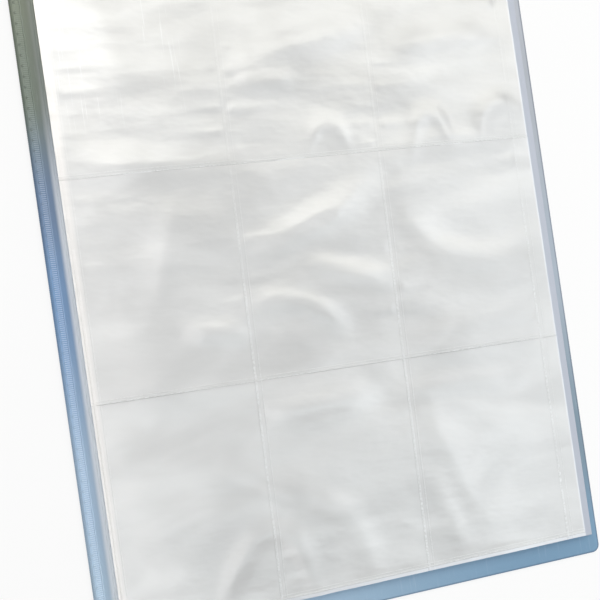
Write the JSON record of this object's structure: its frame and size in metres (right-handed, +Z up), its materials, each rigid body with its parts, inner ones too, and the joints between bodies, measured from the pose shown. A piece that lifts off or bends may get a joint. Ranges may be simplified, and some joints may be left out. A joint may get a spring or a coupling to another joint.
{
  "type": "trading card album",
  "caption": "Slim plastic card album with welded clear pocket leaves that turn on a bound edge, and a hinged cover that folds right round or closes over them.",
  "frame": {"origin": "centre of the album's footprint, on the underside it lies on", "axes": "+X from the spine to the fore edge, +Y from foot to head, +Z up out of the open leaf"},
  "size_m": [0.2294, 0.3006, 0.007],
  "materials": {
    "cover_sheet": "satin plastic sheet, soft gradient from grey-green at the head to blue at the foot",
    "fold": "tight fold of the cover sheet, darker along its edge",
    "crease": "scored crease, stress-whitened",
    "back_film": "hazy translucent film",
    "pocket_film": "clear glossy film with soft wrinkles",
    "weld_seam": "whitish weld seams"
  },
  "bodies": {
    "back": {"back_cover": "cover_sheet", "rear_hinge": "crease"},
    "spine": {"spine_panel": "cover_sheet", "front_hinge": "fold"},
    "front": {"front_cover": "cover_sheet"},
    "leaf_08": {"leaf_08_back_film": "back_film", "leaf_08_head_pockets": "pocket_film", "leaf_08_middle_pockets": "pocket_film", "leaf_08_foot_pockets": "pocket_film", "leaf_08_welds": "weld_seam"},
    "leaf_07": {"leaf_07_back_film": "back_film", "leaf_07_head_pockets": "pocket_film", "leaf_07_middle_pockets": "pocket_film", "leaf_07_foot_pockets": "pocket_film", "leaf_07_welds": "weld_seam"},
    "leaf_06": {"leaf_06_back_film": "back_film", "leaf_06_head_pockets": "pocket_film", "leaf_06_middle_pockets": "pocket_film", "leaf_06_foot_pockets": "pocket_film", "leaf_06_welds": "weld_seam"},
    "leaf_05": {"leaf_05_back_film": "back_film", "leaf_05_head_pockets": "pocket_film", "leaf_05_middle_pockets": "pocket_film", "leaf_05_foot_pockets": "pocket_film", "leaf_05_welds": "weld_seam"},
    "leaf_04": {"leaf_04_back_film": "back_film", "leaf_04_head_pockets": "pocket_film", "leaf_04_middle_pockets": "pocket_film", "leaf_04_foot_pockets": "pocket_film", "leaf_04_welds": "weld_seam"},
    "leaf_03": {"leaf_03_back_film": "back_film", "leaf_03_head_pockets": "pocket_film", "leaf_03_middle_pockets": "pocket_film", "leaf_03_foot_pockets": "pocket_film", "leaf_03_welds": "weld_seam"},
    "leaf_02": {"leaf_02_back_film": "back_film", "leaf_02_head_pockets": "pocket_film", "leaf_02_middle_pockets": "pocket_film", "leaf_02_foot_pockets": "pocket_film", "leaf_02_welds": "weld_seam"},
    "leaf_01": {"leaf_01_back_film": "back_film", "leaf_01_head_pockets": "pocket_film", "leaf_01_middle_pockets": "pocket_film", "leaf_01_foot_pockets": "pocket_film", "leaf_01_welds": "weld_seam"}
  },
  "joints": [
    {"name": "spine_fold", "type": "hinge", "parent": "back", "child": "spine", "pos_m": [-0.1054, 0, 0.00165], "axis": [0, 1, 0], "range_deg": [0, 90]},
    {"name": "front_cover_fold", "type": "hinge", "parent": "spine", "child": "front", "pos_m": [-0.11361, 0, 0.00105], "axis": [0, 1, 0], "range_deg": [0, 270]},
    {"name": "leaf_08_turn", "type": "hinge", "parent": "back", "child": "leaf_08", "pos_m": [-0.09864, 0, 0.00242], "axis": [0, 1, 0], "range_deg": [-8, 0]},
    {"name": "leaf_07_turn", "type": "hinge", "parent": "leaf_08", "child": "leaf_07", "pos_m": [-0.09943, 0, 0.00304], "axis": [0, 1, 0], "range_deg": [-8, 0]},
    {"name": "leaf_06_turn", "type": "hinge", "parent": "leaf_07", "child": "leaf_06", "pos_m": [-0.10024, 0, 0.00366], "axis": [0, 1, 0], "range_deg": [-8, 0]},
    {"name": "leaf_05_turn", "type": "hinge", "parent": "leaf_06", "child": "leaf_05", "pos_m": [-0.10103, 0, 0.00428], "axis": [0, 1, 0], "range_deg": [-8, 0]},
    {"name": "leaf_04_turn", "type": "hinge", "parent": "leaf_05", "child": "leaf_04", "pos_m": [-0.10183, 0, 0.0049], "axis": [0, 1, 0], "range_deg": [-8, 0]},
    {"name": "leaf_03_turn", "type": "hinge", "parent": "leaf_04", "child": "leaf_03", "pos_m": [-0.10264, 0, 0.00552], "axis": [0, 1, 0], "range_deg": [-8, 0]},
    {"name": "leaf_02_turn", "type": "hinge", "parent": "leaf_03", "child": "leaf_02", "pos_m": [-0.10343, 0, 0.00614], "axis": [0, 1, 0], "range_deg": [-8, 0]},
    {"name": "leaf_01_turn", "type": "hinge", "parent": "leaf_02", "child": "leaf_01", "pos_m": [-0.10423, 0, 0.00676], "axis": [0, 1, 0], "range_deg": [-120, 0]}
  ]
}
